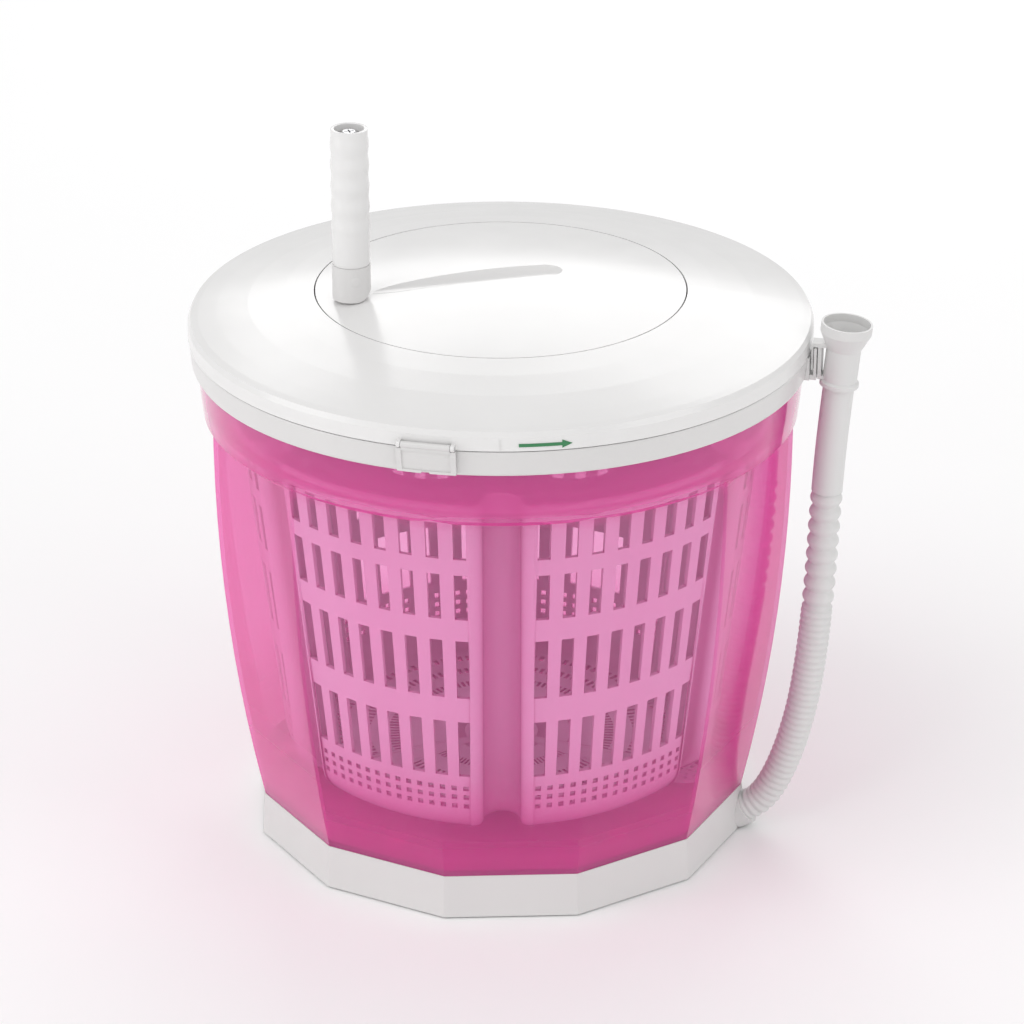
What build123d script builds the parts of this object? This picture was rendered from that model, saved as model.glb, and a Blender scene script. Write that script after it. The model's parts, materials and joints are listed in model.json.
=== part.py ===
from build123d import *
import math
import os

# Hand-cranked tub-in-tub washer and spin dryer.
# Frame: origin at the centre of the underside, +Z up, -Y towards the front facet,
# millimetres. Angles called "bearing" are counted from the front (-Y) towards +X.

# ---------------------------------------------------------------- driving sizes
FACETS = 12
FACET_ANGLE = 360 / FACETS
WALL = 2.5

FOOT_HEIGHT = 4.0
FOOT_RADIUS = 8.0
POST_RADIUS = 7.4
FOOT_CIRCLE_R = 132.0
SCREW_CIRCLE_R = 128.0
DRAIN_CIRCLE_R = 112.0
DRAIN_PIPE_Z = 12.6
SKIRT_BOTTOM = 1.0
BASE_TOP = 27.0
BASE_CORNER_LOW = 148.9
BASE_CORNER_TOP = 147.5
FLANGE_INNER_R = 118.0
CENTRE_RING_R = 22.0
LEDGE_Z = 263.0
TUB_CORNER_LOW = 147.0
TUB_CORNER_MID = 165.5
TUB_MID_Z = 140.0
TUB_CORNER_TOP = 171.5
RIM_LOW_R = 172.5
RIM_TOP_R = 175.2
BAND_Z = 293.7
BAND_TOP_Z = 308.1
BAND_LOW_R = 177.7
LID_R = 180.0
LID_Z = 308.9
LID_EDGE_R = 178.1
LID_EDGE_Z = 319.6
SEAM_R = 106.4
SEAM_GAP = 0.8
SEAM_Z = 332.8
DOME_Z = 341.2
SKIN = 3.0

BASKET_R_LOW = 127.9
BASKET_FLOOR_Z = 44.0
BASKET_TOP_Z = 268.0
BASKET_R_TOP = 153.2
BASKET_WALL = 2.2
BASKET_CORNER = 18.0
FLUTES = 6
FLUTE_BEARING = -2.0
FLUTE_DEPTH = 18.0
FLUTE_RADIUS = 10.5
SLOT_ROWS = ((85.0, 122.0), (138.0, 176.0), (190.0, 219.0), (229.0, 252.0))
SLOT_COLUMNS = 8
SLOT_STEP = 6.0
SLOT_WIDTH = 7.4

MODULE = 2.0
RING_TEETH = 72
PLANET_TEETH = 24
SUN_TEETH = 24
PLANETS = 3
GEAR_LOW_Z = 312.0
GEAR_TOP_Z = 322.0
PRESSURE_ANGLE = 20.0
BACKLASH = 0.16
RUNNING = 0.05
PLANET_CIRCLE_R = MODULE * (PLANET_TEETH + SUN_TEETH) / 2
GEAR_SCREW_CIRCLE_R = 82.6
CASE_SCREW_CIRCLE_R = 120.0

CRANK_BEARING = 103.0
HANDLE_OFFSET = 87.6
HANDLE_PIVOT_Z = 348.6
HANDLE_R = 11.0
HANDLE_TOP_Z = 437.0
GRIP_LOW_Z = 357.0
FOOT_DROP = 12.4
CORE_R = 6.0
HANDLE_PIN_R = 2.0
LUG_HALF = 5.5
LUG_WIDTH = 7.4
FORK_GAP = 8.0
GROOVE_R = 11.7
GROOVE_REACH = 40.0

SHAFT_R = 5.0
PIVOT_R = 6.0

LATCH_BEARINGS = {"front": -15.0, "back": 165.0}
LATCH_HALF_ANGLE = 4.9
LATCH_PIN_R = 1.0
LATCH_AXIS_R = 182.3
LATCH_AXIS_Z = 311.2

ARROW_BEARING = 5.5
ARROW_Z = 312.3

HOSE_BEARING = 75.0
HOSE_R = 9.3
COLLAR_R = 11.0
# In the vertical plane of the hose: distance from the axis, sideways offset, height.
HOSE_ROUTE = (
    (150.6, 0.0, 13.0),
    (156.4, 0.0, 16.7),
    (161.2, 0.3, 22.2),
    (165.6, 0.5, 29.6),
    (170.7, 0.7, 41.2),
    (176.4, 0.8, 58.8),
    (182.6, 0.7, 85.6),
    (187.0, 0.3, 121.4),
    (190.1, -0.2, 165.3),
    (191.7, -0.4, 211.0),
    (193.9, 0.0, 257.0),
    (197.0, 0.0, 290.5),
)


# ---------------------------------------------------------------- small helpers
def at(radius, bearing, z=0.0):
    a = math.radians(bearing)
    return Vector(radius * math.sin(a), -radius * math.cos(a), z)


def turned(shape, bearing):
    """Turns a shape that was drawn in the +X direction to a bearing."""
    return Rot(0, 0, bearing - 90) * shape


def disc(radius, low, top, centre=(0, 0)):
    return Pos(centre[0], centre[1], (low + top) / 2) * Cylinder(radius, top - low)


def ring(outer, inner, low, top, centre=(0, 0)):
    hole = disc(inner, low - 1, top + 1, centre)
    return disc(outer, low, top, centre) - hole


def revolved(points, arc=360):
    """Solid of revolution from a closed outline of (radius, height) points."""
    outline = Polyline(*[(r, 0, z) for r, z in points], close=True)
    return revolve(make_face(outline), Axis.Z, revolution_arc=arc)


def prism(corner_low, corner_top, low, top):
    """Twelve-sided frustum with a facet square to the front."""
    sections = []
    for corner, z in ((corner_low, low), (corner_top, top)):
        sections.append(Pos(0, 0, z) * RegularPolygon(corner, FACETS, rotation=FACET_ANGLE / 2))
    return loft(sections, ruled=True)


def gear_outline(teeth, outward, thinning, root, tip):
    """Closed involute outline; outward=False draws the cavity of an internal gear."""
    pitch_r = MODULE * teeth / 2
    base_r = pitch_r * math.cos(math.radians(PRESSURE_ANGLE))
    involute = math.tan(math.radians(PRESSURE_ANGLE)) - math.radians(PRESSURE_ANGLE)
    half_pitch = math.pi / (2 * teeth)
    sign = -1 if outward else 1
    half_at_pitch = half_pitch + sign * thinning / (2 * pitch_r)
    start = max(base_r, root)
    steps = 5
    flank = []
    for i in range(steps + 1):
        r = start + (tip - start) * i / steps
        angle = math.acos(min(1.0, base_r / r))
        flank.append((r, half_at_pitch + involute - (math.tan(angle) - angle)))
    points = []
    for k in range(teeth):
        middle = 2 * math.pi * k / teeth
        if root < start:
            points.append((root, middle - flank[0][1]))
        points.extend((r, middle - half) for r, half in flank)
        points.extend((r, middle + half) for r, half in reversed(flank))
        if root < start:
            points.append((root, middle + flank[0][1]))
    return Polyline(*[(r * math.cos(a), r * math.sin(a)) for r, a in points], close=True)


# ---------------------------------------------------------------- outer tub
def tub_barrel(inset, low, top):
    """Twelve-sided barrel: opposite facets are one extruded, curved-sided slab."""
    flat = math.cos(math.radians(FACET_ANGLE / 2))
    sides = [(corner * flat - inset, z) for corner, z in
             ((TUB_CORNER_LOW, BASE_TOP), (TUB_CORNER_MID, TUB_MID_Z), (TUB_CORNER_TOP, LEDGE_Z))]
    right = ThreePointArc(*[(x, 0, z) for x, z in sides])
    left = ThreePointArc(*[(-x, 0, z) for x, z in sides])
    low_edge = Line((-sides[0][0], 0, BASE_TOP), (sides[0][0], 0, BASE_TOP))
    top_edge = Line((-sides[2][0], 0, LEDGE_Z), (sides[2][0], 0, LEDGE_Z))
    slab = extrude(make_face([right, left, low_edge, top_edge]), 400, both=True)
    barrel = slab
    for k in range(1, FACETS // 2):
        barrel = barrel & (Rot(0, 0, k * FACET_ANGLE) * slab)
    return barrel & disc(300, low, top)


def make_outer_tub():
    floor_top = BASE_TOP + WALL
    outside = tub_barrel(0, BASE_TOP, LEDGE_Z)
    inside = tub_barrel(WALL, floor_top, LEDGE_Z)
    rim = revolved([
        (150, LEDGE_Z - 3), (RIM_LOW_R - 3.5, LEDGE_Z - 3), (RIM_LOW_R, LEDGE_Z + 0.5),
        (RIM_LOW_R + 1.2, LEDGE_Z + 12), (RIM_TOP_R, BAND_Z), (RIM_TOP_R, BAND_TOP_Z - 0.4),
        (150, BAND_TOP_Z - 0.4)])
    mouth = revolved([
        (0, LEDGE_Z), (158.5, LEDGE_Z), (RIM_LOW_R - WALL, LEDGE_Z + 4),
        (RIM_TOP_R - 3.4, BAND_Z), (RIM_TOP_R - 3.4, BAND_TOP_Z + 5), (0, BAND_TOP_Z + 5)])
    tub = (outside + rim) - inside - mouth
    tub = tub + disc(14, BASE_TOP, 40)
    tub = tub - disc(PIVOT_R, BASE_TOP - 1, 41)
    for k in range(6):
        place = at(SCREW_CIRCLE_R, 30 + 60 * k)
        tub = tub + disc(5.5, BASE_TOP, 37, (place.X, place.Y))
        tub = tub - disc(2.0, BASE_TOP - 1, 33.5, (place.X, place.Y))
    drain = at(DRAIN_CIRCLE_R, HOSE_BEARING)
    return tub - disc(8.1, BASE_TOP - 1, floor_top + 1, (drain.X, drain.Y))


# ---------------------------------------------------------------- base
def collar_axis():
    """Exit point of the drain hose and its direction, in its own vertical plane."""
    first, second = HOSE_ROUTE[0], HOSE_ROUTE[1]
    tilt = math.degrees(math.atan2(second[2] - first[2], second[0] - first[0]))
    return first, tilt


def tilted_cylinder(radius, back, front):
    """Cylinder along the hose's exit direction, from back to front of the exit."""
    first, tilt = collar_axis()
    shape = Pos((back + front) / 2, 0, 0) * Rot(0, 90, 0) * Cylinder(radius, front - back)
    return turned(Pos(first[0], 0, first[2]) * Rot(0, -tilt, 0) * shape, HOSE_BEARING)


def base_cutouts():
    """Clear space for the drain elbow and for the hose's collar."""
    port = tilted_cylinder(COLLAR_R + 0.05, -12, 6)
    return port + turned(Pos(118, 0, 14) * Box(46, 28, 30), HOSE_BEARING)


def base_core():
    """Space inside the base's outer wall."""
    return prism(BASE_CORNER_LOW - SKIN, BASE_CORNER_TOP - SKIN, SKIRT_BOTTOM - 1, BASE_TOP + 1)


def make_base_ring():
    """Twelve-sided outer wall of the base."""
    skirt = prism(BASE_CORNER_LOW, BASE_CORNER_TOP, SKIRT_BOTTOM, BASE_TOP)
    return skirt - base_core() - base_cutouts()


def make_base_flange():
    """Flat ring inside the wall that the tub's floor is screwed down on."""
    flange = base_core() & ring(200, FLANGE_INNER_R, BASE_TOP - SKIN, BASE_TOP)
    for k in range(6):
        screw = at(SCREW_CIRCLE_R, 30 + 60 * k)
        flange = flange - disc(2.2, 11, BASE_TOP + 1, (screw.X, screw.Y))
    gap = turned(Pos(125, 0, BASE_TOP) * Box(60, 28, 20), HOSE_BEARING)
    return flange - gap


def make_base_ribs():
    """Six upright webs between the centre ring and the flange."""
    low, top = 6, BASE_TOP - SKIN
    near, far = CENTRE_RING_R, 138.5
    ribs = []
    for k in range(6):
        rib = Pos((near + far) / 2, 0, (low + top) / 2) * Box(far - near, 3, top - low)
        ribs.append(turned(rib, 45 + 60 * k))
    return Compound(children=ribs)


def make_base_centre():
    return ring(CENTRE_RING_R, 16, 6, BASE_TOP)


def make_base_bosses():
    """Screw bosses and the posts that stand on the feet, all under the flange."""
    top = BASE_TOP - SKIN
    bosses = []
    for k in range(6):
        screw = at(SCREW_CIRCLE_R, 30 + 60 * k)
        post = at(FOOT_CIRCLE_R, -3 + 60 * k)
        bosses.append(ring(6.5, 2.2, 12, top, (screw.X, screw.Y)))
        bosses.append(disc(POST_RADIUS, FOOT_HEIGHT, top, (post.X, post.Y)))
    return Compound(children=bosses)


def make_rubber_feet():
    feet = []
    for k in range(6):
        post = at(FOOT_CIRCLE_R, -3 + 60 * k)
        feet.append(disc(FOOT_RADIUS, 0, FOOT_HEIGHT, (post.X, post.Y)))
    return Compound(children=feet)


def screw(head_r, shank_r, head_low, seat, tip, place):
    """Pan-head screw pointing up: head below the seat, shank up to the tip."""
    head = disc(head_r, head_low, seat, (place.X, place.Y))
    slot = Pos(place.X, place.Y, head_low) * Box(head_r * 1.4, 0.9, 1.2)
    return (head - slot) + disc(shank_r, seat - 0.5, tip, (place.X, place.Y))


def make_base_screws():
    return Compound(children=[screw(4, 2.0, 9.4, 12, 33, at(SCREW_CIRCLE_R, 30 + 60 * k))
                              for k in range(6)])


def make_pivot_pin():
    pin = disc(PIVOT_R, 20, 58)
    pin = chamfer(pin.edges().sort_by(Axis.Z)[-1], 1.5)
    return pin + disc(11, 22, BASE_TOP)


def elbow_solid(radius, top, end):
    """Pipe bend from the tub's floor, drawn towards +X."""
    drop = disc(radius, DRAIN_PIPE_Z, top, (DRAIN_CIRCLE_R, 0))
    run = Pos((DRAIN_CIRCLE_R + end) / 2, 0, DRAIN_PIPE_Z) * Rot(0, 90, 0)
    run = run * Cylinder(radius, end - DRAIN_CIRCLE_R)
    return drop + run + Pos(DRAIN_CIRCLE_R, 0, DRAIN_PIPE_Z) * Sphere(radius)


def make_drain_elbow():
    flange = disc(13, 23.6, 25.8, (DRAIN_CIRCLE_R, 0))
    outside = elbow_solid(8.0, BASE_TOP + WALL, 138) + flange
    return turned(outside - elbow_solid(6.0, BASE_TOP + WALL + 1, 139), HOSE_BEARING)


def make_drain_gasket():
    return turned(ring(13, 8.3, 25.8, BASE_TOP, (DRAIN_CIRCLE_R, 0)), HOSE_BEARING)


def make_drain_strainer():
    strainer = disc(12, BASE_TOP + WALL, 31.3)
    for k in range(8):
        hole = at(8, 45 * k)
        strainer = strainer - disc(1.6, 29, 32, (hole.X, hole.Y))
    for k in range(4):
        hole = at(3.6, 90 * k + 20)
        strainer = strainer - disc(1.3, 29, 32, (hole.X, hole.Y))
    place = at(DRAIN_CIRCLE_R, HOSE_BEARING)
    return Pos(place.X, place.Y, 0) * strainer


def make_hose_collar():
    collar = tilted_cylinder(COLLAR_R, -9, 0) - tilted_cylinder(6.5, -12, 1)
    keep = turned(Pos(150, 0, 14) * Box(21.8, 60, 25.0), HOSE_BEARING)
    return collar & keep


# ---------------------------------------------------------------- rim band
def banded(inner):
    """Ring with the rim band's outer side, filled in to an inner radius."""
    return revolved([
        (inner, BAND_Z), (BAND_LOW_R, BAND_Z), (BAND_LOW_R + 0.6, BAND_Z + 1.2),
        (LID_R - 0.5, BAND_TOP_Z - 1.0), (LID_R - 0.7, BAND_TOP_Z), (inner, BAND_TOP_Z)])


def make_rim_band():
    return banded(RIM_TOP_R + 0.15)


# ---------------------------------------------------------------- drain hose
def hose_points():
    radial = at(1, HOSE_BEARING)
    sideways = at(1, HOSE_BEARING + 90)
    return [radial * r + sideways * s + Vector(0, 0, z) for r, s, z in HOSE_ROUTE]


def corner_radii(points):
    radii = []
    for before, corner, after in zip(points, points[1:], points[2:]):
        run_in, run_out = corner - before, after - corner
        turn = run_in.get_angle(run_out)
        shorter = min(run_in.length, run_out.length)
        radii.append(0.45 * shorter / math.tan(math.radians(turn / 2)))
    return radii


def make_drain_hose():
    points = hose_points()
    radii = corner_radii(points)
    path = FilletPolyline(*points, radius=radii)
    section = Plane(origin=points[0], z_dir=points[1] - points[0]) * Circle(HOSE_R)
    hose = sweep(section, path=path)
    print("hose corner radii", [round(r, 1) for r in radii])
    print("hose length", round(path.length, 1))
    print("hose volume over section times length",
          round(hose.volume / (math.pi * HOSE_R ** 2 * path.length), 4))
    return hose


def block(near, far, width, low, top):
    """Box in the hose's own vertical plane, between two distances from the axis."""
    box = Box(far - near, width, top - low)
    return turned(Pos((near + far) / 2, 0, (low + top) / 2) * box, HOSE_BEARING)


def make_hose_cap():
    """Cuff with a lower ring and a funnel mouth, and the hook that hangs on the bracket."""
    end, before = HOSE_ROUTE[-1], HOSE_ROUTE[-2]
    lean = math.degrees(math.atan2(end[0] - before[0], end[2] - before[2]))
    cuff = revolved([(7.0, 0), (11.2, 0), (11.2, 2.2), (9.9, 3.4), (9.9, 22.5), (14.6, 32.5),
                     (14.6, 38), (13.4, 38), (13.4, 33.2), (8.0, 22.8), (7.0, 21)])
    cuff = turned(Pos(end[0], 0, end[2]) * Rot(0, lean, 0) * cuff, HOSE_BEARING)
    upright = block(185.0, 187.0, 9, 294.5, 316.0)
    low_arm = block(185.0, 188.8, 9, 294.5, 296.7)
    top_arm = block(181.2, 190.2, 9, 313.8, 316.0)
    lip = block(181.2, 182.4, 9, 300.0, 316.0)
    return cuff + upright + low_arm + top_arm + lip


def make_hose_bracket():
    """Hanger on the rim band; the hook of the hose cap drops over its upright tongue."""
    plate = block(176.0, 180.7, 14, 294.2, 307.6)
    arm = block(178.0, 184.4, 11, 294.2, 297.0)
    tongue = block(182.9, 184.4, 11, 294.2, 313.2)
    return plate + arm + tongue - banded(150)


# ---------------------------------------------------------------- lid
def dome(radius):
    """Height of the crank disc's outer surface at a radius."""
    return DOME_Z - (DOME_Z - SEAM_Z) * (radius / SEAM_R) ** 2


def latch_lugs(bearing):
    lugs = []
    half = LATCH_AXIS_R * math.sin(math.radians(LATCH_HALF_ANGLE)) - 0.6
    for side in (-1, 1):
        eye = Rot(90, 0, 0) * Cylinder(1.9, 2.0)
        lug = Pos(LATCH_AXIS_R, side * half, LATCH_AXIS_Z) * eye
        web = Pos(LATCH_AXIS_R - 2.2, side * half, LATCH_AXIS_Z) * Box(4.4, 2.0, 3.6)
        lugs.append(turned(lug + web, bearing))
    return lugs


def latch_pin(bearing):
    half = LATCH_AXIS_R * math.sin(math.radians(LATCH_HALF_ANGLE))
    pin = Rot(90, 0, 0) * Cylinder(LATCH_PIN_R, 2 * half + 1.0)
    return turned(Pos(LATCH_AXIS_R, 0, LATCH_AXIS_Z) * pin, bearing)


def make_lid_shell():
    inner_edge = SEAM_R + SEAM_GAP
    outside = [(inner_edge, SEAM_Z), (125, 330.0), (145, 326.5), (163, 322.9), (174, 320.6),
               (LID_EDGE_R, LID_EDGE_Z), (LID_R - 0.3, LID_EDGE_Z - 3), (LID_R, LID_Z)]
    inside = [(LID_R - SKIN, LID_Z), (LID_EDGE_R - SKIN, LID_EDGE_Z - SKIN), (145, 323.4),
              (125, 326.9), (inner_edge + SKIN, SEAM_Z - 4), (inner_edge + SKIN, 321.2),
              (inner_edge, 321.2)]
    shell = revolved(outside + inside)
    web = revolved([(168.3, 311), (LID_R - 2.5, 311), (LID_R - 2.5, 313.4), (168.3, 313.4)])
    lip = revolved([(165.8, 300), (168.3, 300), (168.3, 320.4), (165.8, 320.9)])
    shell = shell + web + lip
    for k in range(6):
        place = at(CASE_SCREW_CIRCLE_R, 30 + 60 * k)
        shell = shell + disc(4.5, 320.5, 328.6, (place.X, place.Y))
        shell = shell - disc(1.8, 319, 327, (place.X, place.Y))
    for bearing in LATCH_BEARINGS.values():
        for lug in latch_lugs(bearing):
            shell = shell + lug
        shell = shell - latch_pin(bearing)
    return shell


def make_lid_seal():
    return revolved([(170.2, 308.2), (172, 307.9), (174, 307.9), (176, 308.2), (176, 311),
                     (170.2, 311)])


def make_latch_pins():
    return Compound(children=[latch_pin(bearing) for bearing in LATCH_BEARINGS.values()])


def make_latch(bearing):
    """Clip that hangs from the lid over the rim band, with a framed face."""
    outline = [(180.6, 308.9), (183.1, 308.9), (183.1, 306), (181.1, 294.6), (178.8, 294.6),
               (180.6, 306)]
    plate = revolved(outline, 2 * LATCH_HALF_ANGLE + 0.6)
    plate = Rot(0, 0, -(LATCH_HALF_ANGLE + 0.3)) * plate
    panel = revolved([(182.3, 308), (184.5, 308), (184.5, 296.2), (180.7, 296.2), (182.3, 305.5)],
                     2 * LATCH_HALF_ANGLE - 1.3)
    plate = plate - (Rot(0, 0, -(LATCH_HALF_ANGLE - 0.65)) * panel)
    notch = Pos(181, -0.5, 294.3) * Rot(0, 90, 0) * Cylinder(2.4, 12)
    plate = plate - notch
    half = LATCH_AXIS_R * math.sin(math.radians(LATCH_HALF_ANGLE)) - 2.0
    barrel = Pos(LATCH_AXIS_R, 0, LATCH_AXIS_Z) * Rot(90, 0, 0) * Cylinder(1.8, 2 * half)
    web = Pos(182.2, 0, 309.4) * Box(1.8, 2 * half, 2.8)
    latch = plate + web + barrel
    bore = Pos(LATCH_AXIS_R, 0, LATCH_AXIS_Z) * Rot(90, 0, 0) * Cylinder(LATCH_PIN_R + RUNNING, 40)
    return turned(latch - bore, bearing)


def make_direction_arrow():
    """Thin raised arrow on the lid's side that shows the cranking direction."""
    length, head, shaft_half, head_half = 29.0, 5.5, 0.9, 2.3
    neck = length / 2 - head
    outline = Polyline((-length / 2, -shaft_half), (neck, -shaft_half), (neck, -head_half),
                       (length / 2, 0), (neck, head_half), (neck, shaft_half),
                       (-length / 2, shaft_half), close=True)
    stamp = extrude(Plane.XZ * make_face(outline), 12, both=True)
    place = at(LID_R, ARROW_BEARING, ARROW_Z)
    stamp = Pos(place.X, place.Y, place.Z) * Rot(0, 0, ARROW_BEARING) * stamp
    side = (LID_R + 0.01, LID_R - 0.22)
    skin = revolved([(side[0], ARROW_Z - 3), (side[0] + 0.3, ARROW_Z - 3),
                     (side[1] + 0.3, ARROW_Z + 3), (side[1], ARROW_Z + 3)])
    return skin & stamp


def make_gear_case():
    bowl = revolved([
        (8.0, 302), (90.5, 302), (90.5, 311.5), (115.5, 311.5), (115.5, 317.5), (125.5, 317.5),
        (125.5, 320.5), (113, 320.5), (113, 314.5), (88, 314.5), (88, 305), (8.0, 305)])
    bowl = bowl + ring(13, 8.0, 298, 305)
    for k in range(PLANETS):
        place = at(PLANET_CIRCLE_R, 90 + 120 * k)
        bowl = bowl + disc(7, 299, 308.5, (place.X, place.Y))
        bowl = bowl - disc(3.0, 300.5, 309, (place.X, place.Y))
    for k in range(6):
        place = at(CASE_SCREW_CIRCLE_R, 30 + 60 * k)
        bowl = bowl - disc(2.2, 316, 321, (place.X, place.Y))
    return bowl


def make_gear_case_screws():
    return Compound(children=[screw(3.6, 1.8, 315.3, 317.5, 326.5, at(CASE_SCREW_CIRCLE_R, 30 + 60 * k))
                              for k in range(6)])


def make_planet_axles():
    axles = []
    for k in range(PLANETS):
        place = at(PLANET_CIRCLE_R, 90 + 120 * k)
        axles.append(disc(3.0, 300.5, 323.8, (place.X, place.Y)))
    return Compound(children=axles)


def make_planet_retainers():
    rings = []
    for k in range(PLANETS):
        place = at(PLANET_CIRCLE_R, 90 + 120 * k)
        rings.append(ring(5.6, 3.0, 322.3, 323.3, (place.X, place.Y)))
    return Compound(children=rings)


# ---------------------------------------------------------------- gears
def make_planet_gear(number):
    pitch = MODULE * PLANET_TEETH / 2
    outline = gear_outline(PLANET_TEETH, True, BACKLASH, pitch - 2.4, pitch + 1.85)
    gear = extrude(make_face(outline), GEAR_TOP_Z - GEAR_LOW_Z)
    half_tooth = 180 / PLANET_TEETH
    place = at(PLANET_CIRCLE_R, 90 + 120 * number)
    gear = Rot(0, 0, half_tooth) * gear + disc(8, -3.2, 10)
    gear = gear - disc(3.0 + RUNNING, -5, 12)
    gear = gear - (ring(19, 10, 7, 11) + ring(19, 10, -1, 3))
    return Pos(place.X, place.Y, GEAR_LOW_Z) * gear


def make_sun_gear():
    pitch = MODULE * SUN_TEETH / 2
    outline = gear_outline(SUN_TEETH, True, BACKLASH, pitch - 2.4, pitch + 1.85)
    gear = extrude(make_face(outline), GEAR_TOP_Z - GEAR_LOW_Z)
    gear = gear + disc(9, -2.2, 10)
    gear = gear - (ring(19, 11, 7, 11) + ring(19, 11, -1, 3))
    return Pos(0, 0, GEAR_LOW_Z) * (gear - disc(SHAFT_R, -5, 12))


def make_ring_gear():
    pitch = MODULE * RING_TEETH / 2
    cavity = gear_outline(RING_TEETH, False, BACKLASH, pitch - 1.8, pitch + 2.4)
    half_tooth = 180 / RING_TEETH
    blank = disc(79, 311.4, 322.8) + disc(86, 320, 322.8)
    tooth_space = Pos(0, 0, 300) * (Rot(0, 0, half_tooth) * extrude(make_face(cavity), 40))
    gear = blank - tooth_space
    for k in range(4):
        place = at(GEAR_SCREW_CIRCLE_R, 45 + 90 * k + CRANK_BEARING)
        gear = gear - disc(1.7, 319, 324, (place.X, place.Y))
    return gear


# ---------------------------------------------------------------- crank disc
def make_crank_disc():
    """Domed disc with a groove for the folded handle, drawn with the crank towards +X."""
    arc_out = ThreePointArc((0, 0, dome(0)), (SEAM_R / 2, 0, dome(SEAM_R / 2)), (SEAM_R, 0, SEAM_Z))
    skirt = Polyline((SEAM_R, 0, SEAM_Z), (SEAM_R, 0, 320.4), (110.2, 0, 320.4), (110.2, 0, 318),
                     (103, 0, 318), (103, 0, SEAM_Z - SKIN))
    arc_in = ThreePointArc((103, 0, SEAM_Z - SKIN), (52, 0, dome(52) - SKIN), (0, 0, dome(0) - SKIN))
    axis_line = Line((0, 0, dome(0) - SKIN), (0, 0, dome(0)))
    plate = revolve(make_face([arc_out, skirt, arc_in, axis_line]), Axis.Z)
    under = revolve(make_face([arc_out, Line((SEAM_R, 0, SEAM_Z), (0, 0, SEAM_Z - 6)),
                               Line((0, 0, SEAM_Z - 6), (0, 0, dome(0)))]), Axis.Z)
    near = -HANDLE_OFFSET + 6
    middle = (near + GROOVE_REACH - GROOVE_R) / 2
    span = GROOVE_REACH - GROOVE_R - near
    groove_line = Pos(middle, 0, HANDLE_PIVOT_Z) * Rot(0, 90, 0)
    groove = groove_line * Cylinder(GROOVE_R, span)
    groove = groove + Pos(GROOVE_REACH - GROOVE_R, 0, HANDLE_PIVOT_Z) * Sphere(GROOVE_R)
    backing = groove_line * Cylinder(GROOVE_R + SKIN, span)
    backing = backing + Pos(GROOVE_REACH - GROOVE_R, 0, HANDLE_PIVOT_Z) * Sphere(GROOVE_R + SKIN)
    return turned((plate + (backing & under)) - groove, CRANK_BEARING)


def make_crank_hub():
    """Hub, round wall, arms and screw posts under the disc, cut off at its underside."""
    hub = ring(79, 75, 322.8, 335.5) + ring(14, 8.0, 323, 336.5)
    for k in range(4):
        place = at(GEAR_SCREW_CIRCLE_R, 90 + 45 + 90 * k)
        hub = hub + disc(4.2, 322.8, 335, (place.X, place.Y))
        hub = hub - disc(1.5, 322, 330, (place.X, place.Y))
        hub = hub + turned(Pos(44.5, 0, 331.5) * Box(63, 3, 3), 45 + 90 * k)
    return turned(hub, CRANK_BEARING) - make_crank_disc()


def cross_pin(radius, length):
    """Cylinder across the handle's axis at the height of its pivot."""
    return Pos(0, 0, HANDLE_PIVOT_Z) * Rot(90, 0, 0) * Cylinder(radius, length)


def make_crank_lug():
    """Lug that carries the handle's pivot pin."""
    low = dome(HANDLE_OFFSET) - 1
    height = HANDLE_PIVOT_Z - low
    pillar = Pos(0, 0, low + height / 2) * Box(2 * LUG_HALF, LUG_WIDTH, height)
    lug = pillar + cross_pin(LUG_HALF, LUG_WIDTH) - cross_pin(HANDLE_PIN_R, 60)
    return turned(Pos(-HANDLE_OFFSET, 0, 0) * lug, CRANK_BEARING) - make_crank_disc()


def make_hub_bush():
    return ring(8.0, SHAFT_R + RUNNING, 323.5, 333.5)


def make_ring_gear_screws():
    screws = []
    for k in range(4):
        place = at(GEAR_SCREW_CIRCLE_R, 45 + 90 * k + CRANK_BEARING)
        screws.append(screw(2.8, 1.5, 318.2, 320, 329, place))
    return Compound(children=screws)


def make_handle_pin():
    return turned(Pos(-HANDLE_OFFSET, 0, 0) * cross_pin(HANDLE_PIN_R, 18.4), CRANK_BEARING)


def make_handle_post():
    """Foot on the pivot pin, with the core that the grip turns on.

    The foot is round below on the side it folds to, and its closed outer wall
    meets the lug when the handle stands upright.
    """
    foot = disc(HANDLE_R, HANDLE_PIVOT_Z, GRIP_LOW_Z - 0.4)
    lower = disc(HANDLE_R, HANDLE_PIVOT_Z - FOOT_DROP, HANDLE_PIVOT_Z)
    outer_half = Pos(-20, 0, HANDLE_PIVOT_Z) * Box(40, 40, 40)
    foot = foot + (lower & (cross_pin(FOOT_DROP, 40) + outer_half))
    clearance = LUG_HALF + 0.5
    below = Pos((15 - clearance) / 2, 0, HANDLE_PIVOT_Z - 10) * Box(15 + clearance, FORK_GAP, 20)
    beside = Pos(7.5, 0, HANDLE_PIVOT_Z) * Box(15, FORK_GAP, 2 * clearance)
    foot = foot - (below + beside + cross_pin(clearance, FORK_GAP))
    core = disc(CORE_R, GRIP_LOW_Z - 2, 431.5) - disc(1.8, 412, 433)
    post = (foot + core) - cross_pin(HANDLE_PIN_R + RUNNING, 40)
    return turned(Pos(-HANDLE_OFFSET, 0, 0) * post, CRANK_BEARING)


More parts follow.
